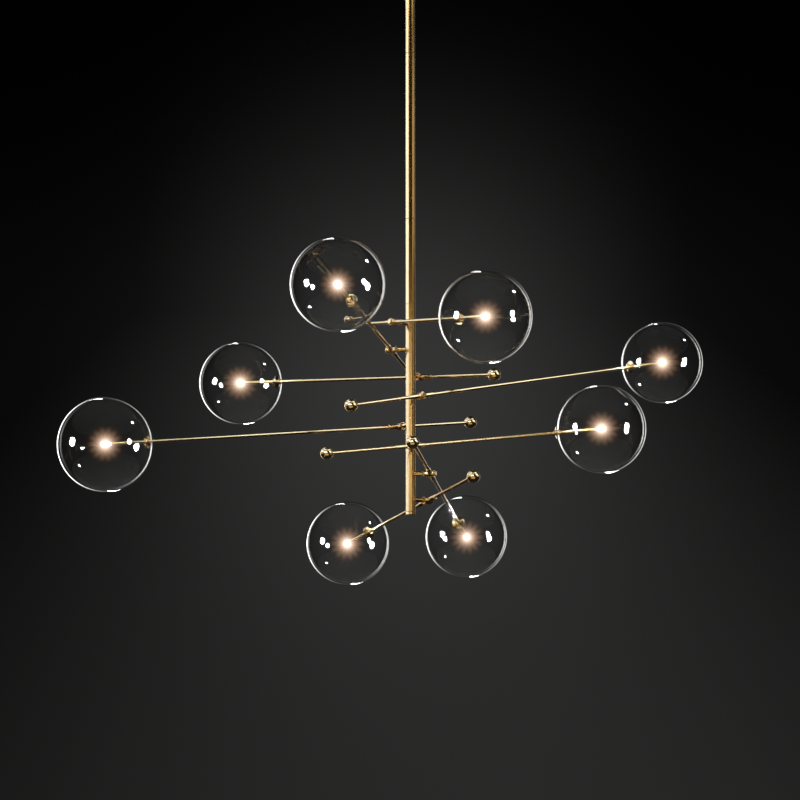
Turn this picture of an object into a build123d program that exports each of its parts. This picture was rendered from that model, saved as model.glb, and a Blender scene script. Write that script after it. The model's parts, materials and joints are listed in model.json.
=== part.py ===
from build123d import *
from math import cos, radians, sin
import os

# Glass chandelier: a brass stem carries arms that tilt on short stubs,
# each with a clear globe and its lamp at one end and a ball weight at the other.
# Millimetres, +Z up. The origin is on the ceiling, on the axis of the stem.

# Arms, hub to globe centre
short_reach = 270.0
middle_reach = 320.0
wide_reach = 355.0
long_reach = 535.0

# One line per arm from the top down: plan direction of its stub, tilt of its globe end, reach
arms = [
    {"stub_turn": 213.0, "tilt": -8.5, "reach": short_reach},
    {"stub_turn": 165.0, "tilt": 7.5, "reach": middle_reach},
    {"stub_turn": 64.0, "tilt": 3.0, "reach": wide_reach},
    {"stub_turn": 302.0, "tilt": 12.0, "reach": long_reach},
    {"stub_turn": 119.0, "tilt": -7.5, "reach": long_reach},
    {"stub_turn": 269.0, "tilt": 5.0, "reach": middle_reach},
    {"stub_turn": 347.0, "tilt": -13.5, "reach": middle_reach},
    {"stub_turn": 32.0, "tilt": -10.5, "reach": short_reach},
]

# Stem
stem_radius = 8.0
stem_bore_radius = 5.0
short_rod_length = 150.0
long_rod_length = 300.0
seam_bevel = 0.5
nipple_length = 22.0
nipple_bore_radius = 3.1
first_hub_drop = 35.0       # top of the stem body to the first arm
hub_spacing = 43.0
last_hub_margin = 21.0      # last arm to the foot of the stem body
end_cap_height = 5.0
end_cap_plug_depth = 8.0

# Pivot stubs, each with a pin that its hub turns on
pivot_offset = 34.0         # stem axis to arm axis
spigot_radius = 3.0
stub_radius = 3.9
neck_radius = 2.1
neck_length = 1.2
bead_radius = 3.2
bead_length = 3.2
shoulder_radius = 2.7
pin_radius = 2.3
thread_radius = 1.8
thread_length = 2.0
lead_bore_radius = 1.1
pivot_cap_radius = 4.8
pivot_cap_height = 3.0

# Hubs
barrel_radius = 6.3
barrel_inner_length = 8.0   # arm axis to the barrel's rim on the stem side
barrel_outer_length = 6.4   # arm axis to the barrel's outer end
rim_land = 0.7              # flat ring left around the barrel's cup
cup_depth = 2.5
cup_floor_gap = 0.7         # ring of air between the cup's floor edge and the shoulder
sleeve_radius = 4.1
sleeve_length = 48.0
socket_wall = 3.1           # metal left between the pin and each rod's socket
hub_edge_round = 1.0

# Rods, ball weights
rod_radius = 3.0
rod_bore_radius = 2.0
ball_radius = 11.0
ball_reach = 140.0          # hub to ball centre
ball_socket_floor = 5.0     # ball centre to the end of its rod

# Globes, collars and lamps
globe_radius = 75.0
glass_wall = 1.6
glass_hole_radius = 6.9
collar_radius = 11.0
collar_edge = 1.6
collar_crown = 2.6
ferrule_radius = 4.8
ferrule_length = 3.4
collar_spigot_radius = 6.5
collar_spigot_inside = 2.0  # length of the spigot beyond the glass
spring_wire_radius = 0.6
nut_radius = 6.2
nut_length = 4.0
lamp_radius = 3.8
lamp_back = 5.0             # globe centre to the back of the lamp's capsule
lamp_straight = 3.0         # globe centre to the start of its round end
lamp_base_radius = 3.4
lamp_base_length = 4.0
lamp_plug_length = 9.0
lead_radius = 1.2

# Ceiling bar and canopy
ceiling_screw_spacing = 88.9
slot_length = 16.0
slot_width = 4.8
bar_width = 24.0
bar_thickness = 2.5
bar_step = 8.0              # drop of the bar's middle below the ceiling
bar_middle_half = 28.5
bar_half_length = 61.0
tab_drop = 16.0
boss_radius = 9.0
boss_depth = 8.0
canopy_radius = 65.0
canopy_depth = 28.0
canopy_wall = 1.5
canopy_edge_round = 5.0
side_screw_drop = 10.0
side_screw_radius = 2.0
side_screw_head_radius = 3.8
side_screw_head_height = 2.4
driver_length = 70.0
driver_width = 24.0
driver_height = 14.0
driver_shift = 32.0         # stem axis to the driver's middle, along Y
driver_round = 2.0

# Wiring held inside the stem
trunk_radius = 2.5
trunk_drop = 4.6
branch_radius = 0.9

# Clearances
run_clearance = 0.05        # pin in its bore, on the radius
end_clearance = 0.3         # between a hub and the faces that keep it on its pin
hole_clearance = 0.4        # stem and screws in the canopy's holes

# Heights that follow from the sizes above
stem_top = -(bar_step + bar_thickness + boss_depth)
upper_seam = stem_top - short_rod_length
middle_seam = upper_seam - long_rod_length
body_top = middle_seam - short_rod_length
first_hub_height = body_top - first_hub_drop
last_hub_height = first_hub_height - hub_spacing * (len(arms) - 1)
body_foot = last_hub_height - last_hub_margin


def turned(outline):
    """A solid turned about Z from a closed outline of (radius, height) points."""
    profile = Plane.XZ * make_face(Polyline(*outline, close=True))
    return revolve(profile, Axis.Z)


def round_bar(radius, low, high):
    """A cylinder on the Z axis between two heights."""
    return Pos(0, 0, (low + high) / 2) * Cylinder(radius, high - low)


def along_rod(shape):
    """Turns a solid made along Z so that it lies along X."""
    return Rot(0, 90, 0) * shape


def group(*solids):
    return Compound(children=list(solids))


def hub_height(index):
    return first_hub_height - hub_spacing * index


def stub_direction(arm):
    turn = radians(arm["stub_turn"])
    return Vector(cos(turn), sin(turn), 0)


def hub_point(index):
    level = Vector(0, 0, hub_height(index))
    return level + stub_direction(arms[index]) * pivot_offset


def level_frame(index):
    """Frame at a hub: X along the arm seen from above, Y up, Z out along the stub."""
    out = stub_direction(arms[index])
    along = Vector(-out.Y, out.X, 0)
    return Plane(hub_point(index), x_dir=along, z_dir=out).location


def arm_frame(index):
    """The level frame turned about the stub to the arm's tilt."""
    return level_frame(index) * Rot(0, 0, arms[index]["tilt"])


def stem_tube(length, top):
    tube = round_bar(stem_radius, top - length, top)
    tube = chamfer(tube.edges().filter_by(GeomType.CIRCLE), seam_bevel)
    return tube - round_bar(stem_bore_radius, top - length, top)


def stem_nipple(seam):
    half = nipple_length / 2
    nipple = round_bar(stem_bore_radius, seam - half, seam + half)
    return nipple - round_bar(nipple_bore_radius, seam - half, seam + half)


def stem_body():
    body = stem_tube(body_top - body_foot, body_top)
    for index in range(len(arms)):
        spigot_hole = round_bar(spigot_radius, -pivot_offset, 0)
        body -= level_frame(index) * spigot_hole
    return body


def stem_end_cap():
    cap = round_bar(stem_radius, body_foot - end_cap_height, body_foot)
    cap = chamfer(cap.edges().filter_by(GeomType.CIRCLE), seam_bevel)
    return cap + round_bar(stem_bore_radius, body_foot - seam_bevel, body_foot + end_cap_plug_depth)


# Heights along a stub, measured outward from the arm's axis
shoulder_end = -barrel_inner_length + cup_depth - end_clearance
bead_middle = -barrel_inner_length - bead_length / 2
stub_end = bead_middle - bead_length / 2 - neck_length
pin_end = barrel_outer_length + end_clearance
thread_end = pin_end + thread_length


def pivot_stub():
    stem_axis = -pivot_offset
    stub = round_bar(stub_radius, stem_axis, stub_end)
    stub = chamfer(stub.edges().sort_by(Axis.Z)[-1], seam_bevel)
    stub -= Pos(0, 0, stem_axis) * Rot(90, 0, 0) * Cylinder(stem_radius, 4 * stub_radius)
    stub += round_bar(spigot_radius, stem_axis + stem_bore_radius, stub_end)
    stub += round_bar(neck_radius, stub_end, bead_middle)
    bead_slice = round_bar(bead_radius, bead_middle - bead_length / 2, bead_middle + bead_length / 2)
    stub += Pos(0, 0, bead_middle) * Sphere(bead_radius) & bead_slice
    stub += round_bar(shoulder_radius, bead_middle, shoulder_end)
    stub += round_bar(pin_radius, shoulder_end, pin_end)
    stub += round_bar(thread_radius, pin_end, thread_end)
    stub -= round_bar(lead_bore_radius, stem_axis, lead_bore_radius)
    return stub - along_rod(round_bar(lead_bore_radius, 0, 2 * pin_radius))


def pivot_cap():
    top = pin_end + pivot_cap_height
    cap = round_bar(pivot_cap_radius, pin_end, top)
    cap = fillet(cap.edges().sort_by(Axis.Z)[-1], pivot_cap_height / 2)
    return cap - round_bar(thread_radius, pin_end, thread_end)


socket_floor = pin_radius + run_clearance + socket_wall


def hub():
    barrel = round_bar(barrel_radius, -barrel_inner_length, barrel_outer_length)
    barrel = fillet(barrel.edges().sort_by(Axis.Z)[-1], hub_edge_round)
    sleeve = Cylinder(sleeve_radius, sleeve_length)
    sleeve = chamfer(sleeve.edges().filter_by(GeomType.CIRCLE), seam_bevel)
    body = barrel + along_rod(sleeve)
    cup_floor = -barrel_inner_length + cup_depth
    body -= turned([
        (0, -barrel_inner_length),
        (barrel_radius - rim_land, -barrel_inner_length),
        (shoulder_radius + cup_floor_gap, cup_floor),
        (0, cup_floor),
    ])
    body -= round_bar(pin_radius + run_clearance, -barrel_inner_length, barrel_outer_length)
    for side in (-1, 1):
        socket_length = sleeve_length / 2 - socket_floor
        socket = along_rod(Cylinder(rod_radius, socket_length))
        body -= Pos(side * (socket_floor + socket_length / 2), 0, 0) * socket
    return body - along_rod(round_bar(lead_bore_radius, 0, socket_floor))


def arm_tube(reach):
    end = reach - lamp_back - lamp_base_length
    tube = round_bar(rod_radius, socket_floor, end)
    tube -= round_bar(rod_bore_radius, socket_floor, end)
    return along_rod(tube)


def counterweight():
    rod_end = ball_reach - ball_socket_floor
    tail = along_rod(round_bar(rod_radius, -rod_end, -socket_floor))
    ball = Pos(-ball_reach, 0, 0) * Sphere(ball_radius)
    ball -= along_rod(round_bar(rod_radius, -rod_end, 0))
    return group(tail, ball)


def glass_globe(reach):
    globe = Sphere(globe_radius) - Sphere(globe_radius - glass_wall)
    globe -= round_bar(glass_hole_radius, -globe_radius - glass_wall, 0)
    return along_rod(Pos(0, 0, reach) * globe)


def globe_collar(reach):
    inner_radius = globe_radius - glass_wall
    seat = -((globe_radius ** 2 - collar_radius ** 2) ** 0.5)
    crown = seat - collar_edge
    ferrule_foot = -globe_radius - collar_crown
    spigot_end = -inner_radius + collar_spigot_inside
    disc = turned([
        (rod_radius, ferrule_foot - ferrule_length),
        (ferrule_radius, ferrule_foot - ferrule_length),
        (ferrule_radius, ferrule_foot),
        (collar_radius - collar_edge, crown),
        (collar_radius, crown + collar_edge / 2),
        (collar_radius, -inner_radius),
        (rod_radius, -inner_radius),
    ])
    disc -= Sphere(globe_radius)
    spigot = round_bar(collar_spigot_radius, -globe_radius, spigot_end)
    spigot -= round_bar(rod_radius, -globe_radius, spigot_end)
    nut = round_bar(nut_radius, spigot_end, spigot_end + nut_length)
    nut = chamfer(nut.edges().filter_by(GeomType.CIRCLE), seam_bevel)
    nut -= round_bar(rod_radius, spigot_end, spigot_end + nut_length)
    ring_radius = collar_spigot_radius + spring_wire_radius
    ring_drop = (inner_radius - spring_wire_radius) ** 2 - ring_radius ** 2
    spring_ring = Pos(0, 0, -(ring_drop ** 0.5)) * Torus(ring_radius, spring_wire_radius)
    at_globe = Pos(0, 0, reach)
    return group(*[along_rod(at_globe * piece) for piece in (disc + spigot, nut, spring_ring)])


def lamp(reach):
    base_back = -lamp_back - lamp_base_length
    plug_back = base_back - lamp_plug_length
    capsule = round_bar(lamp_radius, -lamp_back, lamp_straight)
    capsule += Pos(0, 0, lamp_straight) * Sphere(lamp_radius)
    capsule += round_bar(lamp_base_radius, base_back, -lamp_back)
    capsule += round_bar(rod_bore_radius, plug_back, base_back)
    lead = round_bar(lead_radius, socket_floor - reach, plug_back)
    at_globe = Pos(0, 0, reach)
    return group(along_rod(at_globe * capsule), along_rod(at_globe * lead))


def ceiling_bar():
    middle_top = -bar_step
    middle_foot = middle_top - bar_thickness
    bar = Pos(0, 0, middle_top - bar_thickness / 2) * Box(2 * bar_middle_half, bar_width, bar_thickness)
    wing_length = bar_half_length - bar_middle_half + bar_thickness
    for side in (-1, 1):
        web = Box(bar_thickness, bar_width, -middle_foot)
        bar += Pos(side * (bar_middle_half - bar_thickness / 2), 0, middle_foot / 2) * web
        wing = Box(wing_length, bar_width, bar_thickness)
        bar += Pos(side * (bar_half_length - wing_length / 2), 0, -bar_thickness / 2) * wing
        tab = Box(bar_thickness, bar_width, tab_drop)
        bar += Pos(side * (bar_half_length - bar_thickness / 2), 0, -tab_drop / 2) * tab
        slot = extrude(SlotOverall(slot_length, slot_width), bar_thickness)
        bar -= Pos(side * ceiling_screw_spacing / 2, 0, -bar_thickness) * slot
    bar += round_bar(boss_radius, stem_top, middle_foot)
    bar -= round_bar(stem_bore_radius, stem_top, middle_top)
    tab_back = bar_half_length - bar_thickness
    for turn in (0, 180):
        tab_hole = along_rod(round_bar(side_screw_radius, tab_back, bar_half_length))
        bar -= Rot(0, 0, turn) * Pos(0, 0, -side_screw_drop) * tab_hole
    return bar


def canopy():
    shell = round_bar(canopy_radius, -canopy_depth, 0)
    shell = fillet(shell.edges().sort_by(Axis.Z)[0], canopy_edge_round)
    inside = round_bar(canopy_radius - canopy_wall, canopy_wall - canopy_depth, canopy_wall)
    shell -= fillet(inside.edges().sort_by(Axis.Z)[0], canopy_edge_round - canopy_wall)
    shell -= round_bar(stem_radius + hole_clearance, -canopy_depth, 0)
    screw_holes = along_rod(round_bar(side_screw_radius + hole_clearance, -canopy_radius, canopy_radius))
    return shell - Pos(0, 0, -side_screw_drop) * screw_holes


def canopy_screws():
    inner_end = bar_half_length - 2 * bar_thickness
    head_seat = canopy_radius
    screw = round_bar(side_screw_radius, inner_end, head_seat)
    head = round_bar(side_screw_head_radius, head_seat, head_seat + side_screw_head_height)
    screw += fillet(head.edges().sort_by(Axis.Z)[-1], side_screw_head_height / 2)
    screw = Pos(0, 0, -side_screw_drop) * along_rod(screw)
    return group(screw, Rot(0, 0, 180) * screw)


def lamp_driver():
    case = Box(driver_length, driver_width, driver_height)
    case = fillet(case.edges().filter_by(Axis.Z), driver_round)
    floor_top = canopy_wall - canopy_depth
    return Pos(0, driver_shift, floor_top + driver_height / 2) * case


def wiring_loom():
    driver_top = canopy_wall - canopy_depth + driver_height
    loom = round_bar(trunk_radius, last_hub_height - trunk_radius, -trunk_drop)
    loom += Pos(0, driver_shift / 2, -trunk_drop) * Rot(90, 0, 0) * Cylinder(trunk_radius, driver_shift)
    loom += Pos(0, driver_shift, 0) * round_bar(trunk_radius, driver_top, -trunk_drop)
    for bend in (0, driver_shift):
        loom += Pos(0, bend, -trunk_drop) * Sphere(trunk_radius)
    for index in range(len(arms)):
        loom += level_frame(index) * round_bar(branch_radius, -pivot_offset, 0)
    return loom


def save(shape, node):
    export_step(shape, f"parts/{node}.step")


os.makedirs("parts", exist_ok=True)

save(ceiling_bar(), "ceiling_bar")
save(canopy(), "canopy")
save(canopy_screws(), "canopy_screws")
save(lamp_driver(), "lamp_driver")
save(wiring_loom(), "wiring_loom")
upper_rod = stem_tube(short_rod_length, stem_top)
lower_rod = stem_tube(short_rod_length, middle_seam)
save(group(upper_rod, lower_rod), "short_stem_rods")
save(stem_tube(long_rod_length, upper_seam), "long_stem_rod")
seams = (stem_top, upper_seam, middle_seam, body_top)
save(group(*[stem_nipple(seam) for seam in seams]), "stem_nipples")
save(stem_body(), "stem_body")
save(stem_end_cap(), "stem_end_cap")
level_frames = [level_frame(index) for index in range(len(arms))]
save(group(*[frame * pivot_stub() for frame in level_frames]), "pivot_stubs")
save(group(*[frame * pivot_cap() for frame in level_frames]), "pivot_caps")

for index, arm in enumerate(arms):
    number = index + 1
    place = arm_frame(index)
    save(place * hub(), f"hub_{number}")
    save(place * arm_tube(arm["reach"]), f"arm_tube_{number}")
    save(place * counterweight(), f"counterweight_{number}")
    save(place * globe_collar(arm["reach"]), f"globe_collar_{number}")
    save(place * glass_globe(arm["reach"]), f"glass_globe_{number}")
    save(place * lamp(arm["reach"]), f"lamp_{number}")
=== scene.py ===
import json
from functools import partial
from math import cos, pi, radians, sin, sqrt

import bpy
from mathutils import Matrix, Vector

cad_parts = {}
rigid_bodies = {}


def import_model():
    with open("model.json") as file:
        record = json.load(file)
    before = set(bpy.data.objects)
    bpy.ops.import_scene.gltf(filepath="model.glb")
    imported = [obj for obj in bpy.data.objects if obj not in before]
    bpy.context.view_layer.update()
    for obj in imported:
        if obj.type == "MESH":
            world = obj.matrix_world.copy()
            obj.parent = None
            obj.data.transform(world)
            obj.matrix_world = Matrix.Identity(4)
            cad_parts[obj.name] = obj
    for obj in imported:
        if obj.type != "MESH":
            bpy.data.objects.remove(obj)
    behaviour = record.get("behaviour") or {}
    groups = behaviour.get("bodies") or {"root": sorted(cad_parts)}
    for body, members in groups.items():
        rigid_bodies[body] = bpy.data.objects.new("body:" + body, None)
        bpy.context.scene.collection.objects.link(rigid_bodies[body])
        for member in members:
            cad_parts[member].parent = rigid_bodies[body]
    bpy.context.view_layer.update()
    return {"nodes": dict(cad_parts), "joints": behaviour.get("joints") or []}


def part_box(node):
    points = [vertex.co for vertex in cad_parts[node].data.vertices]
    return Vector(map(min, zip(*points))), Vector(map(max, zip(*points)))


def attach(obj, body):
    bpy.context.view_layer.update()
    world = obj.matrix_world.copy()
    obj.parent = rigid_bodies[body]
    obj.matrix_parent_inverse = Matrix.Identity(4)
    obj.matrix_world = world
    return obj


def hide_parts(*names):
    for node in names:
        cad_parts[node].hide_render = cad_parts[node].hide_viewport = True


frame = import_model()
nodes = frame["nodes"]
tilts = {joint["child"]: joint for joint in frame["joints"]}
armNumbers = range(1, len(tilts) + 1)
print("frame loaded with", len(nodes), "nodes and", len(tilts), "tilting arms")


# the small steps that every piece below uses

def deselectAll():
    bpy.ops.object.select_all(action="DESELECT")


def makeActive(piece):
    deselectAll()
    piece.select_set(True)
    bpy.context.view_layer.objects.active = piece


def newest(name):
    piece = bpy.context.object
    piece.name = name
    piece.data.name = name
    return piece


def openMesh(piece):
    makeActive(piece)
    bpy.ops.object.mode_set(mode="EDIT")
    bpy.ops.mesh.select_mode(type="VERT")
    bpy.ops.mesh.select_all(action="DESELECT")


def closeMesh():
    bpy.ops.object.mode_set(mode="OBJECT")


def pickFaces(piece, wanted):
    bpy.ops.mesh.select_mode(type="FACE")
    bpy.ops.mesh.select_all(action="DESELECT")
    bpy.ops.object.mode_set(mode="OBJECT")  # flags set in object mode are kept by edit mode
    for face in piece.data.polygons:
        face.select = wanted(face)
    bpy.ops.object.mode_set(mode="EDIT")


def pickEdges(piece, wanted):
    bpy.ops.mesh.select_mode(type="EDGE")
    bpy.ops.mesh.select_all(action="DESELECT")
    bpy.ops.object.mode_set(mode="OBJECT")
    points = piece.data.vertices
    for edge in piece.data.edges:
        first, second = (points[i].co for i in edge.vertices)
        edge.select = wanted(first, second)
    bpy.ops.object.mode_set(mode="EDIT")


def applyModifier(piece, modifier):
    makeActive(piece)
    bpy.ops.object.modifier_apply(modifier=modifier.name)


def smooth(piece, angle):
    makeActive(piece)
    bpy.ops.object.shade_smooth_by_angle(angle=radians(angle))


def ownCopy(piece, name, place):
    copy = piece.copy()
    copy.data = piece.data.copy()
    copy.name = name
    copy.data.name = name
    bpy.context.scene.collection.objects.link(copy)
    copy.data.transform(place)  # the place goes into the mesh
    return copy


def gather(name, pieces):
    # a lamp that is linked to this group lights only these pieces
    group = bpy.data.collections.new(name)
    for piece in pieces:
        group.objects.link(piece)
    return group


def globeMiddle(number):
    low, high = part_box(f"glass_globe_{number}")
    return (low + high) / 2


def armPlace(number):
    # local +Z runs along the rod, away from the hub, and the origin is the globe's middle
    middle = globeMiddle(number)
    hubPoint = Vector(tilts[f"arm_{number}"]["pos_m"])
    along = (middle - hubPoint).normalized()
    return Matrix.Translation(middle) @ along.to_track_quat("Z", "Y").to_matrix().to_4x4()


# the nodes that the materials, the wall and the flare are made of

noiseRoughness = 0.55
mathNodes = {"SHADER": "ShaderNodeMath", "COMPOSITING": "CompositorNodeMath"}


def addNoise(tree, place, scale, detail):
    noise = tree.nodes.new("ShaderNodeTexNoise")
    noise.inputs["Scale"].default_value = scale
    noise.inputs["Detail"].default_value = detail
    noise.inputs["Roughness"].default_value = noiseRoughness
    tree.links.new(place, noise.inputs["Vector"])
    return noise.outputs["Fac"]


def addRange(tree, value, span, newSpan=(0.0, 1.0), kind="LINEAR"):
    node = tree.nodes.new("ShaderNodeMapRange")
    node.interpolation_type = kind
    for name, bound in zip(("From Min", "From Max", "To Min", "To Max"), (*span, *newSpan)):
        node.inputs[name].default_value = bound
    tree.links.new(value, node.inputs["Value"])
    return node.outputs["Result"]


def addMath(tree, operation, first, second=None, clamp=False):
    # each value is a number or a socket
    node = tree.nodes.new(mathNodes[tree.type])
    node.operation = operation
    node.use_clamp = clamp
    for socket, value in zip(node.inputs, (first, second)):
        if isinstance(value, (int, float)):
            socket.default_value = value
        elif value is not None:
            tree.links.new(value, socket)
    return node.outputs["Value"]


def addBump(tree, height, strength, depth):
    bump = tree.nodes.new("ShaderNodeBump")
    bump.inputs["Strength"].default_value = strength
    bump.inputs["Distance"].default_value = depth
    tree.links.new(height, bump.inputs["Height"])
    return bump.outputs["Normal"]


def colourSocket(mix, name):
    # a mix node has a socket of this name for each data type, and this is the one for colours
    return next(s for s in (*mix.inputs, *mix.outputs) if s.name == name and s.type == "RGBA")


def mixColours(tree, first, second, share):
    # each colour is a socket or plain red, green and blue
    mix = tree.nodes.new("ShaderNodeMix")
    mix.data_type = "RGBA"
    for name, colour in (("A", first), ("B", second)):
        if isinstance(colour, tuple):
            colourSocket(mix, name).default_value = (*colour, 1.0)
        else:
            tree.links.new(colour, colourSocket(mix, name))
    tree.links.new(share, mix.inputs["Factor"])
    return colourSocket(mix, "Result")


# shared effects, as node groups

def newGroup(name, inputs, outputs):
    group = bpy.data.node_groups.new(name, "ShaderNodeTree")
    for socketName, kind, value in inputs:
        socket = group.interface.new_socket(name=socketName, in_out="INPUT", socket_type=kind)
        if value is not None:
            socket.default_value = value
    for socketName, kind in outputs:
        group.interface.new_socket(name=socketName, in_out="OUTPUT", socket_type=kind)
    return group, group.nodes.new("NodeGroupInput"), group.nodes.new("NodeGroupOutput")


def addGroup(tree, group, place):
    node = tree.nodes.new("ShaderNodeGroup")
    node.node_tree = group
    tree.links.new(place, node.inputs["Vector"])
    return node.outputs


tarnishLook = {
    "cloudScale": 22.0,
    "cloudRange": (0.3, 0.7),
    "fleckScale": 90.0,
    "fleckRange": (0.58, 0.74),
    "spread": 0.55,
}


def makeTarnish():
    # soft clouds with darker flecks in them, as on brass that is wiped by hand
    look = tarnishLook
    group, given, out = newGroup(
        "tarnishClouds",
        [("Vector", "NodeSocketVector", None), ("Spread", "NodeSocketFloat", look["spread"])],
        [("Clouds", "NodeSocketFloat"), ("Flecks", "NodeSocketFloat")],
    )
    place = given.outputs["Vector"]
    clouds = addRange(group, addNoise(group, place, look["cloudScale"], detail=2.0), look["cloudRange"])
    flecks = addRange(group, addNoise(group, place, look["fleckScale"], detail=1.0), look["fleckRange"])
    spread = addMath(group, "MULTIPLY", clouds, given.outputs["Spread"])
    group.links.new(spread, out.inputs["Clouds"])
    group.links.new(flecks, out.inputs["Flecks"])
    return group


drawnLook = {
    "stretch": (1.0, 1.0, 0.03),
    "fineScale": 2600.0,
    "broadScale": 420.0,
    "broadRange": (0.4, 0.68),
}


def makeDrawnLines():
    # fine lines along local Z, as the drawing and the polishing of a tube leave them
    look = drawnLook
    group, given, out = newGroup(
        "drawnLines",
        [("Vector", "NodeSocketVector", None)],
        [("Height", "NodeSocketFloat"), ("Wear", "NodeSocketFloat")],
    )
    stretch = group.nodes.new("ShaderNodeMapping")
    stretch.inputs["Scale"].default_value = look["stretch"]
    group.links.new(given.outputs["Vector"], stretch.inputs["Vector"])
    place = stretch.outputs["Vector"]
    wear = addRange(group, addNoise(group, place, look["broadScale"], detail=3.0), look["broadRange"])
    group.links.new(addNoise(group, place, look["fineScale"], detail=2.0), out.inputs["Height"])
    group.links.new(wear, out.inputs["Wear"])
    return group


tarnishClouds = makeTarnish()
drawnLines = makeDrawnLines()


# the rays that a surface or a light is hidden from

def clearFor(tree, shader, share):
    # the surface is not there for this share of the rays
    clear = tree.nodes.new("ShaderNodeBsdfTransparent")
    pick = tree.nodes.new("ShaderNodeMixShader")
    tree.links.new(share, pick.inputs["Fac"])
    tree.links.new(shader.outputs["BSDF"], pick.inputs[1])
    tree.links.new(clear.outputs["BSDF"], pick.inputs[2])
    tree.links.new(pick.outputs["Shader"], tree.nodes["Material Output"].inputs["Surface"])


def hideLight(data, hiddenRays):
    # the light gives nothing to these rays
    data.use_nodes = True
    tree = data.node_tree
    path = tree.nodes.new("ShaderNodeLightPath")
    seen = addMath(tree, "SUBTRACT", 1.0, hiddenRays(tree, path))
    tree.links.new(seen, tree.nodes["Emission"].inputs["Strength"])


def mirrored(tree, path):
    # rays that were mirrored at least once on their way
    return addMath(tree, "MINIMUM", path.outputs["Glossy Depth"], 1.0)


def mirroredRays(tree, path):
    # rays that have met anything but clear glass on their way
    steps = path.outputs["Ray Depth"]
    return addMath(tree, "SUBTRACT", steps, path.outputs["Transmission Depth"], clamp=True)


def mirroredInAir(tree, path):
    # mirrored rays that are not inside a glass wall, which they enter and leave by one step each
    inWall = addMath(tree, "MODULO", path.outputs["Transmission Depth"], 2.0)
    inAir = addMath(tree, "SUBTRACT", 1.0, inWall)
    return addMath(tree, "MULTIPLY", path.outputs["Glossy Depth"], inAir, clamp=True)


def through(tree, path):
    # rays that go through both walls of a globe, by four steps, or three when a light is sampled
    return addMath(tree, "GREATER_THAN", path.outputs["Transmission Depth"], 2.0)


def straightThrough(tree, path):
    # such rays that were not mirrored on their way
    unmirrored = addMath(tree, "SUBTRACT", 1.0, mirrored(tree, path))
    return addMath(tree, "MULTIPLY", through(tree, path), unmirrored)


def notOnceMirrored(tree, path):
    # all but the rays that the rim mirrors, which it does by one step inside the wall
    once = addMath(tree, "COMPARE", path.outputs["Glossy Depth"], 1.0)
    return addMath(tree, "MAXIMUM", through(tree, path), addMath(tree, "SUBTRACT", 1.0, once))


# materials

def newMaterial(name):
    material = bpy.data.materials.new(name)
    material.use_nodes = True
    tree = material.node_tree
    place = tree.nodes.new("ShaderNodeTexCoord").outputs["Object"]
    return material, tree, tree.nodes["Principled BSDF"], place


brassLook = {
    "bright": (0.80, 0.53, 0.205),
    "aged": (0.66, 0.395, 0.125),
    "fleck": (0.30, 0.165, 0.05),
    "fleckShare": 0.15,
    "grainDepth": 0.000012,
    "grainStrength": 0.05,
    "metal": 0.97,
    "lacquer": 0.8,
    "lacquerRoughness": 0.10,
    "lacquerIndex": 1.9,
    "dullRange": (0.0, 1.5),
    "polished": (0.15, 0.22),
    "wiped": (0.13, 0.20),
    "satin": (0.19, 0.25),
}


def makeBrass(name, turn, finish):
    # turn carries the lines' direction from local Z to the piece's own length
    material, tree, shader, place = newMaterial(name)
    look = brassLook
    links = tree.links
    lay = tree.nodes.new("ShaderNodeMapping")
    lay.vector_type = "TEXTURE"
    lay.inputs["Rotation"].default_value = turn
    links.new(place, lay.inputs["Vector"])
    tarnish = addGroup(tree, tarnishClouds, lay.outputs["Vector"])
    lines = addGroup(tree, drawnLines, lay.outputs["Vector"])
    aged = mixColours(tree, look["bright"], look["aged"], tarnish["Clouds"])
    fleckShare = addMath(tree, "MULTIPLY", tarnish["Flecks"], look["fleckShare"])
    dullness = addMath(tree, "ADD", tarnish["Clouds"], lines["Wear"])
    grain = addBump(tree, lines["Height"], look["grainStrength"], look["grainDepth"])
    links.new(mixColours(tree, aged, look["fleck"], fleckShare), shader.inputs["Base Color"])
    links.new(addRange(tree, dullness, look["dullRange"], look[finish]), shader.inputs["Roughness"])
    links.new(grain, shader.inputs["Normal"])
    shader.inputs["Metallic"].default_value = look["metal"]
    shader.inputs["Coat Weight"].default_value = look["lacquer"]
    shader.inputs["Coat Roughness"].default_value = look["lacquerRoughness"]
    shader.inputs["Coat IOR"].default_value = look["lacquerIndex"]
    return material


glassLook = {
    "tint": (0.87, 0.875, 0.87),
    "film": (0.84, 0.85, 0.84),
    "filmScale": 30.0,
    "filmRange": (0.5, 0.75),
    "filmRoughness": (0.0, 0.012),
    "index": 1.47,
    "waveScale": 16.0,
    "waveDepth": 0.00025,
    "waveStrength": 0.5,
    "paintedGlow": (0.0015, (1.0, 1.0, 1.0)),  # strength and colour of a faint glow painted on the globes' glass, which is no lamp
}


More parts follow.
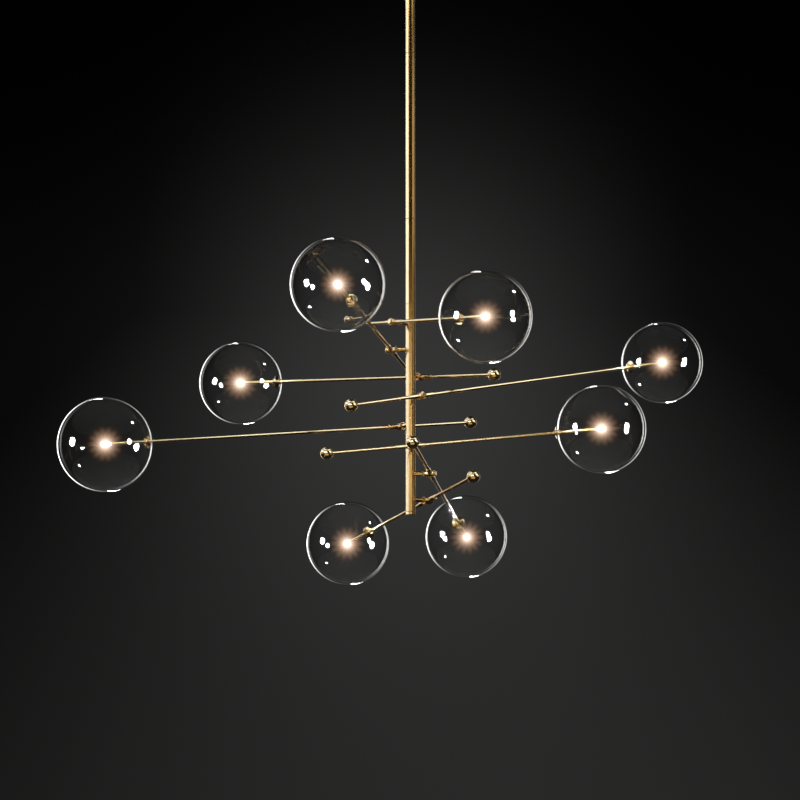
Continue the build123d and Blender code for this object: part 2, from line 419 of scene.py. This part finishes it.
def makeClearGlass(name, waveDepth, light, hiddenRays):
    # a thin film of handling in clouds, and the long waves of blown glass
    material, tree, shader, place = newMaterial(name)
    look = glassLook
    glow, glowColour = light
    links = tree.links
    film = addRange(tree, addNoise(tree, place, look["filmScale"], detail=4.0), look["filmRange"])
    waves = addNoise(tree, place, look["waveScale"], detail=1.0)
    links.new(mixColours(tree, look["tint"], look["film"], film), shader.inputs["Base Color"])
    links.new(addRange(tree, film, (0.0, 1.0), look["filmRoughness"]), shader.inputs["Roughness"])
    links.new(addBump(tree, waves, look["waveStrength"], waveDepth), shader.inputs["Normal"])
    shader.inputs["Transmission Weight"].default_value = 1.0
    shader.inputs["IOR"].default_value = look["index"]
    # the glass glows by this strength: a faint painted glow on the globes, and the lamp's own light on the
    # capsule
    shader.inputs["Emission Color"].default_value = (*glowColour, 1.0)
    shader.inputs["Emission Strength"].default_value = glow
    # light goes straight through the clear wall, and the brass does not mirror it
    path = tree.nodes.new("ShaderNodeLightPath")
    hidden = addMath(tree, "MAXIMUM", path.outputs["Is Shadow Ray"], hiddenRays(tree, path))
    clearFor(tree, shader, hidden)
    return material


lampLook = {
    "core": (1.0, 0.72, 0.42),
    "ends": (1.0, 0.55, 0.24),
    "strength": 400.0,
    "grainScale": 900.0,
    "grainRange": (0.35, 0.75),
    "coilRoughness": 0.6,
    "capsule": (60.0, (1.0, 0.72, 0.42)),  # strength and colour of its glow
    "shine": 1.4,
    "shineColour": (0.8, 1.0, 1.3),
    "shineRadius": 0.034,
    "shineBack": 0.036,
    "shineAside": (0.0, -0.03, 0.02),
}


def makeGlow():
    # the coil's heat is uneven, so its colour shifts along it
    material, tree, shader, place = newMaterial("lampGlow")
    look = lampLook
    cooler = addRange(tree, addNoise(tree, place, look["grainScale"], detail=2.0), look["grainRange"])
    colour = mixColours(tree, look["core"], look["ends"], cooler)
    tree.links.new(colour, shader.inputs["Base Color"])
    tree.links.new(colour, shader.inputs["Emission Color"])
    shader.inputs["Emission Strength"].default_value = look["strength"]
    shader.inputs["Roughness"].default_value = look["coilRoughness"]
    path = tree.nodes.new("ShaderNodeLightPath")
    clearFor(tree, shader, mirroredRays(tree, path))
    return material


dullLook = {
    "toneRange": (0.35, 0.7),
    "roughRange": (0.3, 0.7),
    "fineness": 9.0,
    "grainStrength": 0.4,
}

# pale and dark tone, grain's scale, smoothest and dullest, metallic share, grain's depth
dullFinishes = {
    "lampCeramic": ((0.82, 0.80, 0.74), (0.70, 0.67, 0.60), 300.0, (0.35, 0.55), 0.0, 0.00003),
    "zincSteel": ((0.60, 0.61, 0.62), (0.42, 0.43, 0.45), 90.0, (0.28, 0.5), 1.0, 0.00002),
    "driverCase": ((0.74, 0.74, 0.72), (0.62, 0.62, 0.60), 160.0, (0.4, 0.6), 0.0, 0.00005),
    "wireSkin": ((0.72, 0.70, 0.66), (0.55, 0.53, 0.50), 240.0, (0.35, 0.5), 0.0, 0.00002),
    "floorPlaster": ((0.78, 0.77, 0.75), (0.72, 0.71, 0.69), 3.0, (0.55, 0.75), 0.0, 0.0004),
}


def makeDull(name):
    material, tree, shader, place = newMaterial(name)
    look = dullLook
    pale, dark, scale, roughness, metallic, depth = dullFinishes[name]
    links = tree.links
    grain = addNoise(tree, place, scale, detail=5.0)
    fine = addNoise(tree, place, scale * look["fineness"], detail=2.0)
    tone = mixColours(tree, pale, dark, addRange(tree, grain, look["toneRange"]))
    links.new(tone, shader.inputs["Base Color"])
    links.new(addRange(tree, grain, look["roughRange"], roughness), shader.inputs["Roughness"])
    links.new(addBump(tree, fine, look["grainStrength"], depth), shader.inputs["Normal"])
    shader.inputs["Metallic"].default_value = metallic
    return material


upright = (0.0, 0.0, 0.0)
stemBrass = makeBrass("stemBrass", upright, "polished")
bodyBrass = makeBrass("bodyBrass", upright, "satin")
armBrass = {n: makeBrass(f"armBrass_{n}", armPlace(n).to_euler(), "wiped") for n in armNumbers}
globeGlass = makeClearGlass("globeGlass", glassLook["waveDepth"], glassLook["paintedGlow"], mirroredInAir)
capsuleGlass = makeClearGlass("capsuleGlass", 0.0, lampLook["capsule"], mirroredRays)
lampGlow = makeGlow()
lampCeramic = makeDull("lampCeramic")
zincSteel = makeDull("zincSteel")
driverCase = makeDull("driverCase")
wireSkin = makeDull("wireSkin")
floorPlaster = makeDull("floorPlaster")
print("materials made:", len(bpy.data.materials))


# the CAD nodes that keep their shape get their finish

nodeFinish = {
    "ceiling_bar": zincSteel,
    "lamp_driver": driverCase,
    "wiring_loom": wireSkin,
    "stem_body": bodyBrass,
    "stem_end_cap": bodyBrass,
    "pivot_stubs": bodyBrass,
}


def finishNodes():
    for name, node in nodes.items():
        material = nodeFinish.get(name, stemBrass)
        number = name.rsplit("_", 1)[-1]
        if number.isdigit():
            material = armBrass[int(number)]
        for slot in node.material_slots:
            slot.material = material


finishNodes()
print("finishes on the CAD nodes done")


# glass globes

globeShape = {
    "wall": 0.0016,
    "mouthRadius": 0.0069,
    "lipRound": 0.0005,
    "lipSteps": 3,
    "lipAngle": 40,
    "smoothAngle": 50,
    "weld": 0.00002,
    "segments": 128,
    "rings": 80,
}


def makeGlobe():
    shape = globeShape
    low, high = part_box("glass_globe_1")
    radius = (high.z - low.z) / 2
    mouthDrop = sqrt(radius ** 2 - shape["mouthRadius"] ** 2)
    deselectAll()
    bpy.ops.mesh.primitive_uv_sphere_add(
        segments=shape["segments"], ring_count=shape["rings"], radius=radius)
    globe = newest("globeMaster")
    openMesh(globe)
    bpy.ops.mesh.select_all(action="SELECT")
    bpy.ops.mesh.bisect(plane_co=(0, 0, -mouthDrop), plane_no=(0, 0, 1), clear_inner=True)
    bpy.ops.mesh.select_all(action="SELECT")
    bpy.ops.mesh.remove_doubles(threshold=shape["weld"])
    closeMesh()
    wall = globe.modifiers.new("wall", "SOLIDIFY")
    wall.thickness = shape["wall"]
    wall.offset = -1.0
    applyModifier(globe, wall)
    lip = globe.modifiers.new("lip", "BEVEL")
    lip.width = shape["lipRound"]
    lip.segments = shape["lipSteps"]
    lip.limit_method = "ANGLE"
    lip.angle_limit = radians(shape["lipAngle"])
    applyModifier(globe, lip)
    smooth(globe, shape["smoothAngle"])
    globe.data.materials.append(globeGlass)
    return globe


def placeGlobes():
    master = makeGlobe()
    for number in armNumbers:
        globe = ownCopy(master, f"globe_{number}", armPlace(number))
        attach(globe, f"arm_{number}")
        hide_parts(f"glass_globe_{number}")
    bpy.data.objects.remove(master)


placeGlobes()
print("globes blown")


# lamps: a ceramic base, a glass capsule, two posts and a coil

lampShape = {
    "baseRadius": 0.0034,
    "baseFrom": -0.009,
    "baseTo": -0.005,
    "baseInset": 0.0008,
    "baseDish": 0.0003,
    "baseRound": 0.0004,
    "capsuleRadius": 0.0038,
    "capsuleTip": 0.0068,
    "capsuleWall": 0.0004,
    "neckHeight": 0.0008,
    "neckShare": 0.72,
    "coilRadius": 0.0015,
    "wireRadius": 0.00028,
    "coilFrom": -0.0018,
    "coilTo": 0.0020,
    "turns": 6,
    "postRadius": 0.00025,
    "postSpread": 0.0011,
    "postSunk": 0.0003,
    "postTipInset": 0.3,
    "postTipRise": 0.5,
    "smallest": 0.000001,  # heights that differ by less count as equal
    "levelShare": 0.9,  # a level face's normal is upright by more than this
    "rimShare": 0.98,  # the base's outer edges lie past this share of its radius
    "roundSteps": 3,
    "sides": 48,
    "capsuleRings": 32,
    "wireSides": 10,
    "turnSteps": 24,
    "postSides": 12,
    "smoothAngles": {"base": 35, "capsule": 50, "coil": 60, "posts": 40},
}


def makeLampBase():
    shape = lampShape
    height = shape["baseTo"] - shape["baseFrom"]
    deselectAll()
    bpy.ops.mesh.primitive_cylinder_add(
        vertices=shape["sides"], radius=shape["baseRadius"], depth=height,
        location=(0, 0, (shape["baseFrom"] + shape["baseTo"]) / 2))
    base = newest("lampBaseMaster")
    bpy.ops.object.transform_apply(location=True)
    openMesh(base)
    pickFaces(base, lambda face: abs(face.normal.z) > shape["levelShare"])
    bpy.ops.mesh.inset(thickness=shape["baseInset"])
    bpy.ops.mesh.extrude_region_shrink_fatten(TRANSFORM_OT_shrink_fatten={"value": -shape["baseDish"]})
    outermost = shape["baseRadius"] * shape["rimShare"]
    pickEdges(base, lambda a, b: abs(a.z - b.z) < shape["smallest"] and a.xy.length > outermost)
    bpy.ops.mesh.bevel(offset=shape["baseRound"], segments=shape["roundSteps"])
    closeMesh()
    smooth(base, shape["smoothAngles"]["base"])
    base.data.materials.append(lampCeramic)
    return base


def makeLampCapsule():
    shape = lampShape
    radius = shape["capsuleRadius"]
    centre = shape["capsuleTip"] - radius
    deselectAll()
    bpy.ops.mesh.primitive_uv_sphere_add(
        segments=shape["sides"], ring_count=shape["capsuleRings"], radius=radius, location=(0, 0, centre))
    capsule = newest("lampCapsuleMaster")
    bpy.ops.object.transform_apply(location=True)
    openMesh(capsule)
    bpy.ops.mesh.select_all(action="SELECT")
    bpy.ops.mesh.bisect(plane_co=(0, 0, centre), plane_no=(0, 0, 1), clear_inner=True)
    pickEdges(capsule, lambda a, b: max(a.z, b.z) < centre + shape["smallest"])
    neckTop = shape["baseTo"] + shape["neckHeight"]
    bpy.ops.mesh.extrude_region_move(TRANSFORM_OT_translate={"value": (0, 0, neckTop - centre)})
    bpy.ops.mesh.extrude_region_move(TRANSFORM_OT_translate={"value": (0, 0, -shape["neckHeight"])})
    bpy.ops.transform.resize(value=(shape["neckShare"], shape["neckShare"], 1.0))
    closeMesh()
    wall = capsule.modifiers.new("wall", "SOLIDIFY")
    wall.thickness = shape["capsuleWall"]
    wall.offset = -1.0
    applyModifier(capsule, wall)
    smooth(capsule, shape["smoothAngles"]["capsule"])
    capsule.data.materials.append(capsuleGlass)
    return capsule


def makeLampCoil():
    shape = lampShape
    length = shape["coilTo"] - shape["coilFrom"]
    deselectAll()
    bpy.ops.mesh.primitive_circle_add(
        vertices=shape["wireSides"], radius=shape["wireRadius"], rotation=(pi / 2, 0, 0),
        location=(shape["coilRadius"], 0, shape["coilFrom"]))
    coil = newest("lampCoilMaster")
    bpy.ops.object.transform_apply(location=True, rotation=True)
    winding = coil.modifiers.new("winding", "SCREW")
    winding.axis = "Z"
    winding.screw_offset = length / shape["turns"]
    winding.iterations = shape["turns"]
    winding.steps = shape["turnSteps"]
    winding.render_steps = shape["turnSteps"]
    winding.use_merge_vertices = True
    applyModifier(coil, winding)
    openMesh(coil)
    bpy.ops.mesh.select_all(action="SELECT")
    bpy.ops.mesh.normals_make_consistent(inside=False)
    bpy.ops.mesh.select_all(action="DESELECT")
    bpy.ops.mesh.select_mode(type="EDGE")
    bpy.ops.mesh.select_non_manifold()
    bpy.ops.mesh.fill()
    closeMesh()
    smooth(coil, shape["smoothAngles"]["coil"])
    coil.data.materials.append(lampGlow)
    return coil


def makeLampPosts():
    shape = lampShape
    deselectAll()
    # each post goes a little into the base and into the coil
    length = shape["coilFrom"] - shape["baseTo"] + 2 * shape["postSunk"]
    middle = shape["baseTo"] - shape["postSunk"] + length / 2
    made = []
    for side in (-1, 1):
        bpy.ops.mesh.primitive_cylinder_add(
            vertices=shape["postSides"], radius=shape["postRadius"], depth=length,
            location=(side * shape["postSpread"], 0, middle))
        post = newest(f"lampPost{side + 1}")
        bpy.ops.object.transform_apply(location=True)
        openMesh(post)
        pickFaces(post, lambda face: face.normal.z > shape["levelShare"])
        bpy.ops.mesh.inset(thickness=shape["postRadius"] * shape["postTipInset"])
        bpy.ops.transform.translate(value=(0, 0, shape["postRadius"] * shape["postTipRise"]))
        closeMesh()
        made.append(post)
    makeActive(made[0])
    made[1].select_set(True)
    bpy.ops.object.join()
    posts = newest("lampPostsMaster")
    smooth(posts, shape["smoothAngles"]["posts"])
    posts.data.materials.append(zincSteel)
    return posts


def shineFrom(coil, number):
    # the globe's wall throws the lamp's light back on the rod,
    # and a soft light beside the rod stands for that
    data = bpy.data.lights.new(f"lampShine_{number}", "POINT")
    data.energy = lampLook["shine"]
    data.color = lampLook["shineColour"]
    data.shadow_soft_size = lampLook["shineRadius"]
    shine = bpy.data.objects.new(f"lampShine_{number}", data)
    bpy.context.scene.collection.objects.link(shine)
    rodMiddle = armPlace(number) @ Vector((0.0, 0.0, -lampLook["shineBack"]))
    shine.location = rodMiddle + Vector(lampLook["shineAside"])
    shine.visible_camera = False
    shine.visible_transmission = False
    # the glass does not mirror the lit rod, and the light is only sampled directly,
    # since a glossy ray from the rod itself would count as mirrored too
    data.cycles.use_multiple_importance_sampling = False
    hideLight(data, mirrored)
    shine.parent = coil
    rod = nodes[f"arm_tube_{number}"]
    shine.light_linking.receiver_collection = gather(f"lampLit_{number}", [rod])


def placeLamps():
    masters = {
        "lampBase": makeLampBase(),
        "lampCapsule": makeLampCapsule(),
        "lampCoil": makeLampCoil(),
        "lampPosts": makeLampPosts(),
    }
    for number in armNumbers:
        for name, master in masters.items():
            piece = ownCopy(master, f"{name}_{number}", armPlace(number))
            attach(piece, f"arm_{number}")
            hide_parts(f"lamp_{number}")
            if name == "lampCoil":
                shineFrom(piece, number)
    for master in masters.values():
        bpy.data.objects.remove(master)


placeLamps()
print("lamps lit")


# the room: floor, camera, dark wall, lights and the camera's flare

room = {
    "floorDrop": -2.5,
    "floorRadius": 3.2,
    "floorThickness": 0.02,
    "floorRound": 0.008,
    "floorRoundSteps": 3,
    "floorSides": 160,
    "floorSmoothAngle": 40,
    "aim": (0.0, 0.0, -0.83),
}


def makeFloor():
    deselectAll()
    drop = room["floorDrop"]
    thickness = room["floorThickness"]
    bpy.ops.mesh.primitive_circle_add(
        vertices=room["floorSides"], radius=room["floorRadius"], fill_type="NGON", location=(0, 0, drop))
    floor = newest("paleFloor")
    bpy.ops.object.transform_apply(location=True)
    openMesh(floor)
    bpy.ops.mesh.select_all(action="SELECT")
    bpy.ops.mesh.extrude_region_move(TRANSFORM_OT_translate={"value": (0, 0, thickness)})
    pickEdges(floor, lambda a, b: min(a.z, b.z) > drop + thickness / 2)
    bpy.ops.mesh.bevel(offset=room["floorRound"], segments=room["floorRoundSteps"])
    closeMesh()
    smooth(floor, room["floorSmoothAngle"])
    floor.data.materials.append(floorPlaster)
    floor.visible_glossy = False  # the glass mirrors the dark room, not the floor


cameraView = {
    "place": (-0.018, -3.199, -1.3488),
    "lookUp": 10.0,
    "lens": 86.175,
    "sensor": 36.0,
    "farthest": 50.0,
}


def makeCamera():
    data = bpy.data.cameras.new("photoCamera")
    data.sensor_width = cameraView["sensor"]
    data.lens = cameraView["lens"]
    data.clip_end = cameraView["farthest"]
    camera = bpy.data.objects.new("photoCamera", data)
    bpy.context.scene.collection.objects.link(camera)
    camera.location = cameraView["place"]
    camera.rotation_euler = (radians(90 + cameraView["lookUp"]), 0.0, 0.0)
    bpy.context.scene.camera = camera


backdrop = {
    "peak": 0.0142,
    "wash": 0.0216,
    "peakHeight": 10.6,
    "peakSpread": 4.5,
    "washSpread": 5.0,
    "washNarrowest": 3.9,
    "washWiden": 0.55,
    "lean": 0.4,
    "leanBelow": 0.2,
    "topFade": 4.3,
    "sideRest": 0.1,
    "tint": (1.0, 0.985, 0.97, 1.0),
}

# a wide soft ring of light round the wall's glow, brightest on the left, for the globes' rims;
# it is not seen directly, or straight through a globe
rimLight = {
    "inner": 18.0,
    "outer": 34.0,
    "innerEdge": 2.0,
    "outerEdge": 6.0,
    "rest": 0.04,
    "left": 4.2,
    "leftTurn": 184.0,
    "right": 1.1,
    "rightTurn": -12.0,
}


def squared(tree, value):
    return addMath(tree, "MULTIPLY", value, value)


def bell(tree, distanceSquared, spread):
    return addMath(tree, "EXPONENT", addMath(tree, "MULTIPLY", distanceSquared, -0.5 / spread ** 2))


def inDegrees(tree, operation, *values):
    return addMath(tree, "MULTIPLY", addMath(tree, operation, *values), 180 / pi)


def wallGlow(tree, east, north, up):
    # a soft peak near the picture's middle, and a wash that is wider and further right lower down
    math = partial(addMath, tree)
    look = backdrop
    aside = inDegrees(tree, "ARCTAN2", east, north)
    height = inDegrees(tree, "ARCSINE", up)
    above = math("SUBTRACT", height, look["peakHeight"])
    over = math("MAXIMUM", above, 0.0)
    below = math("SUBTRACT", over, above)
    peak = bell(tree, math("ADD", squared(tree, aside), squared(tree, above)), look["peakSpread"])
    widened = math("SUBTRACT", look["washSpread"], math("MULTIPLY", above, look["washWiden"]))
    spread = math("MAXIMUM", widened, look["washNarrowest"])
    leaned = math("SUBTRACT", aside, math("MULTIPLY", below, look["leanBelow"]))
    across = math("DIVIDE", math("SUBTRACT", leaned, look["lean"]), spread)
    sides = math("MAXIMUM", bell(tree, squared(tree, across), 1.0), look["sideRest"])
    wash = math("MULTIPLY", sides, bell(tree, squared(tree, over), look["topFade"]))
    return math("ADD", math("MULTIPLY", peak, look["peak"]), math("MULTIPLY", wash, look["wash"]))


def rimGlow(tree, east, north, up):
    math = partial(addMath, tree)
    look = rimLight
    tip = radians(cameraView["lookUp"])
    ahead = math("ADD", math("MULTIPLY", north, cos(tip)), math("MULTIPLY", up, sin(tip)))
    raised = math("SUBTRACT", math("MULTIPLY", up, cos(tip)), math("MULTIPLY", north, sin(tip)))
    fromAxis = inDegrees(tree, "ARCCOSINE", ahead)
    away = math("SQRT", math("ADD", squared(tree, east), squared(tree, raised)))
    starts = addRange(tree, fromAxis, (look["inner"], look["inner"] + look["innerEdge"]), kind="SMOOTHSTEP")
    ends = addRange(tree, fromAxis, (look["outer"], look["outer"] - look["outerEdge"]), kind="SMOOTHSTEP")
    ring = math("MULTIPLY", starts, ends)

    def towards(turn, strength):
        aligned = math("ADD", math("MULTIPLY", east, cos(radians(turn))),
                       math("MULTIPLY", raised, sin(radians(turn))))
        share = math("MAXIMUM", math("DIVIDE", aligned, away), 0.0)
        return math("MULTIPLY", squared(tree, squared(tree, share)), strength)

    sideLight = math("ADD", towards(look["leftTurn"], look["left"]),
                     towards(look["rightTurn"], look["right"]))
    return math("MULTIPLY", ring, math("ADD", sideLight, look["rest"]))


def makeBackdrop():
    # the wall and the ring are made by direction alone, so nothing stands behind the chandelier
    world = bpy.data.worlds.new("darkWall")
    bpy.context.scene.world = world
    world.use_nodes = True
    tree = world.node_tree
    math = partial(addMath, tree)
    place = tree.nodes.new("ShaderNodeTexCoord")
    parts = tree.nodes.new("ShaderNodeSeparateXYZ")
    tree.links.new(place.outputs["Generated"], parts.inputs["Vector"])
    direction = [parts.outputs[axis] for axis in "XYZ"]
    path = tree.nodes.new("ShaderNodeLightPath")
    direct = math("MAXIMUM", path.outputs["Is Camera Ray"], straightThrough(tree, path))
    rim = math("MULTIPLY", rimGlow(tree, *direction), math("SUBTRACT", 1.0, direct))
    total = math("ADD", wallGlow(tree, *direction), rim)
    tree.links.new(total, tree.nodes["Background"].inputs["Strength"])
    tree.nodes["Background"].inputs["Color"].default_value = backdrop["tint"]


# shape, direction from the chandelier's middle, distance, width, height, spread
panels = {
    "leftKey": ("DISK", (-0.966, -0.258, 0.03), 6.0, 1.5, 1.5, 40),
    "rightKey": ("DISK", (0.90, -0.44, 0.03), 6.0, 1.2, 1.2, 40),
    "highSpot": ("DISK", (0.728, 0.02, 0.672), 6.0, 0.45, 0.45, 60),
    "leftHigh": ("RECTANGLE", (-0.886, 0.0, 0.463), 2.7, 4.8, 0.95, 150),
    "leftLow": ("RECTANGLE", (-0.992, 0.0, 0.126), 2.4, 4.4, 0.95, 150),
    "rightHigh": ("RECTANGLE", (0.88, -0.10, 0.47), 2.7, 3.2, 0.6, 150),
    "rightLow": ("RECTANGLE", (0.96, -0.2, 0.15), 2.6, 2.0, 0.8, 150),
    "midRight": ("RECTANGLE", (0.80, -0.45, 0.38), 2.4, 1.4, 0.8, 150),
    "frontLeft": ("RECTANGLE", (-0.35, -0.92, 0.146), 2.6, 2.4, 0.6, 150),
    "frontRight": ("RECTANGLE", (0.35, -0.92, 0.146), 2.6, 1.2, 0.6, 150),
    "lowFront": ("RECTANGLE", (-0.1, -0.85, -0.5), 2.4, 3.0, 1.3, 150),
    "highLeft": ("RECTANGLE", (-0.50, -0.39, 0.78), 2.2, 1.2, 0.8, 150),
    "highRight": ("RECTANGLE", (0.535, -0.32, 0.78), 2.2, 1.3, 0.9, 150),
    "highFront": ("RECTANGLE", (0.06, -0.63, 0.78), 2.2, 1.0, 0.7, 150),
    "highBackLeft": ("RECTANGLE", (-0.55, 0.32, 0.77), 2.2, 1.2, 0.8, 150),
    "floorWash": ("DISK", (0.0, -0.3, 0.95), 2.0, 2.0, 2.0, 150),
}

lightTint = {
    "white": (1.0, 1.0, 1.0),
    "pale": (0.88, 1.0, 1.2),
    "cool": (0.78, 1.0, 1.38),
    "warm": (1.0, 0.82, 0.5),
}

# radiance and tint of each panel, for the pieces that it lights
lightKits = {
    "glass": {
        "leftKey": (11.0, "white"),
        "rightKey": (8.0, "white"),
        "highSpot": (20.0, "white"),
    },
    "stem": {
        "leftHigh": (1.45, "pale"),
        "leftLow": (1.1, "pale"),
        "highLeft": (2.6, "white"),
        "highBackLeft": (1.6, "white"),
        "frontLeft": (0.74, "warm"),
        "frontRight": (0.8, "warm"),
        "highRight": (0.7, "warm"),
        "lowFront": (0.64, "warm"),
        "rightHigh": (0.32, "warm"),
        "rightLow": (0.14, "warm"),
        "midRight": (0.13, "warm"),
    },
    "arms": {
        "leftHigh": (1.4, "cool"),
        "leftLow": (0.5, "warm"),
        "highLeft": (1.8, "cool"),
        "highBackLeft": (1.0, "cool"),
        "frontLeft": (5.8, "cool"),
        "highRight": (1.35, "cool"),
        "highFront": (0.7, "white"),
        "midRight": (2.1, "cool"),
        "rightLow": (0.7, "white"),
        "lowFront": (0.45, "warm"),
    },
    "floor": {
        "floorWash": (2.4, "white"),
    },
}

# a small light low behind each globe, in degrees off the line of sight and round it to the right
lowKick = {
    "below": 17.5,
    "aside": 9.0,
    "distance": 7.0,
    "width": 0.17,
    "height": 2.2,
    "spread": 40,
    "light": (1.8, "white"),
}


def makeLight(name, panel, aim, light):
    shape, direction, distance, width, height, spread = panel
    radiance, tint = light
    data = bpy.data.lights.new(name, "AREA")
    data.color = lightTint[tint]
    data.shape = shape
    data.size = width
    if shape == "RECTANGLE":
        data.size_y = height
    data.energy = radiance * pi * width * height
    data.spread = radians(spread)
    lamp = bpy.data.objects.new(name, data)
    bpy.context.scene.collection.objects.link(lamp)
    toward = Vector(direction).normalized()
    lamp.location = aim + toward * distance
    lamp.rotation_euler = (-toward).to_track_quat("-Z", "Y").to_euler()
    lamp.visible_camera = False
    return lamp


def makeKick(number):
    # one bright mark in the globe's lower rim
    middle = globeMiddle(number)
    sight = (middle - Vector(cameraView["place"])).normalized()
    right = sight.cross(Vector((0.0, 0.0, 1.0))).normalized()
    up = right.cross(sight)
    turn = radians(lowKick["aside"])
    tip = radians(lowKick["below"])
    toward = sight * cos(tip) + (right * sin(turn) - up * cos(turn)) * sin(tip)
    sizes = [lowKick[name] for name in ("distance", "width", "height", "spread")]
    kick = makeLight(f"lowKick_{number}", ("RECTANGLE", toward, *sizes), middle, lowKick["light"])
    hideLight(kick.data, notOnceMirrored)
    group = gather(f"kickLit_{number}", [bpy.data.objects[f"globe_{number}"]])
    kick.light_linking.receiver_collection = group


def makeLights():
    pieces = bpy.data.objects
    lit = {
        "glass": [pieces[f"{kind}_{n}"] for kind in ("globe", "lampCapsule") for n in armNumbers],
        "stem": [node for name, node in nodes.items() if not name[-1].isdigit()],
        "arms": [pieces[f"{kind}_{n}"] for kind in ("lampBase", "lampPosts") for n in armNumbers],
        "floor": [pieces["paleFloor"]],
    }
    for kind in ("hub", "arm_tube", "counterweight", "globe_collar"):
        lit["arms"] += [nodes[f"{kind}_{n}"] for n in armNumbers]
    for kit, names in lightKits.items():
        group = gather(f"{kit}Lit", lit[kit])
        for name, light in names.items():
            lamp = makeLight(f"{kit}_{name}", panels[name], Vector(room["aim"]), light)
            lamp.light_linking.receiver_collection = group
            if kit == "glass":
                hideLight(lamp.data, straightThrough)  # it shows in a globe, not behind it
    for number in armNumbers:
        makeKick(number)


# red and blue undo the weights of a grey picture, and reaches are shares of the picture's width
filmGlow = {
    "red": (1 / 0.2126, 0.0, 0.0, 1.0),
    "blue": (0.0, 0.0, 1 / 0.0722, 1.0),
    "threshold": 15.0,
    "evenReach": 0.05,
    "evenFloor": 0.004,
    "whiteReach": 0.015,
    "white": (0.74, 0.73, 0.72, 1.0),
    "warmReach": 0.0215,
    "warm": (0.31, 0.125, 0.015, 1.0),
    "pointReach": 0.0113,
    "pointSharpness": 8.0,
    "pointGain": 150.0,
    "rays": 14,
    "rayFade": 0.86,
    "rayThreshold": 0.1,
    "raySteps": 2,
    "rayTint": (1.6, 1.0, 0.66, 1.0),
}


def enabledSocket(sockets, name):
    return next(socket for socket in sockets if socket.enabled and socket.name == name)


def soften(tree, picture, reach):
    blur = tree.nodes.new("CompositorNodeBlur")
    blur.filter_type = "GAUSS"
    inPixels = tree.nodes.new("CompositorNodeRelativeToPixel")
    inPixels.data_type = "FLOAT"
    inPixels.reference_dimension = "X"
    enabledSocket(inPixels.inputs, "Value").default_value = reach
    tree.links.new(tree.nodes["Render Layers"].outputs["Image"], inPixels.inputs["Image"])
    tree.links.new(enabledSocket(inPixels.outputs, "Value"), blur.inputs["Size"])
    tree.links.new(picture, blur.inputs["Image"])
    return blur.outputs["Image"]


def tinted(tree, picture, tint):
    mix = tree.nodes.new("CompositorNodeMixRGB")
    mix.blend_type = "MULTIPLY"
    mix.inputs[2].default_value = tint
    tree.links.new(picture, mix.inputs[1])
    return mix.outputs["Image"]


def addTinted(tree, picture, layer, tint):
    added = tree.nodes.new("CompositorNodeMixRGB")
    added.blend_type = "ADD"
    tree.links.new(picture, added.inputs[1])
    tree.links.new(tinted(tree, layer, tint), added.inputs[2])
    return added.outputs["Image"]


def channel(tree, picture, weights):
    grey = tree.nodes.new("CompositorNodeRGBToBW")
    tree.links.new(tinted(tree, picture, weights), grey.inputs["Image"])
    return grey.outputs["Val"]


def makeRays(tree, points):
    rays = tree.nodes.new("CompositorNodeGlare")
    rays.glare_type = "STREAKS"
    rays.quality = "HIGH"
    rays.inputs["Threshold"].default_value = filmGlow["rayThreshold"]
    rays.inputs["Streaks"].default_value = filmGlow["rays"]
    rays.inputs["Iterations"].default_value = filmGlow["raySteps"]
    rays.inputs["Fade"].default_value = filmGlow["rayFade"]
    rays.inputs["Color Modulation"].default_value = 0.0
    tree.links.new(points, rays.inputs["Image"])
    return rays.outputs["Glare"]


def makeFilmGlow():
    # the camera's own flare: a white bloom, a wider warm one and short rays about each lamp
    scene = bpy.context.scene
    scene.view_settings.view_transform = "Standard"
    scene.cycles.sample_clamp_indirect = 0.0  # the lamps keep their full strength behind glass
    scene.use_nodes = True
    tree = scene.node_tree
    tree.nodes.clear()
    math = partial(addMath, tree)
    look = filmGlow
    plain = tree.nodes.new("CompositorNodeRLayers").outputs["Image"]
    # the lamps are the only strong lights that are warm, so white glints in the glass do not flare
    warmth = math("SUBTRACT", channel(tree, plain, look["red"]), channel(tree, plain, look["blue"]))
    hot = math("GREATER_THAN", warmth, look["threshold"])
    around = math("ADD", soften(tree, hot, look["evenReach"]), look["evenFloor"])

    def evened(reach):
        # nearly the same strength about each lamp, however much of it is seen
        share = (reach / look["evenReach"]) ** 2
        return math("MULTIPLY", math("DIVIDE", soften(tree, hot, reach), around), share)

    sharp = math("POWER", evened(look["pointReach"]), look["pointSharpness"])
    points = math("MULTIPLY", sharp, look["pointGain"], clamp=True)
    picture = addTinted(tree, plain, evened(look["whiteReach"]), look["white"])
    picture = addTinted(tree, picture, evened(look["warmReach"]), look["warm"])
    picture = addTinted(tree, picture, makeRays(tree, points), look["rayTint"])
    out = tree.nodes.new("CompositorNodeComposite")
    tree.links.new(picture, out.inputs["Image"])


makeFloor()
makeBackdrop()
makeLights()
makeCamera()
makeFilmGlow()
print("room set")
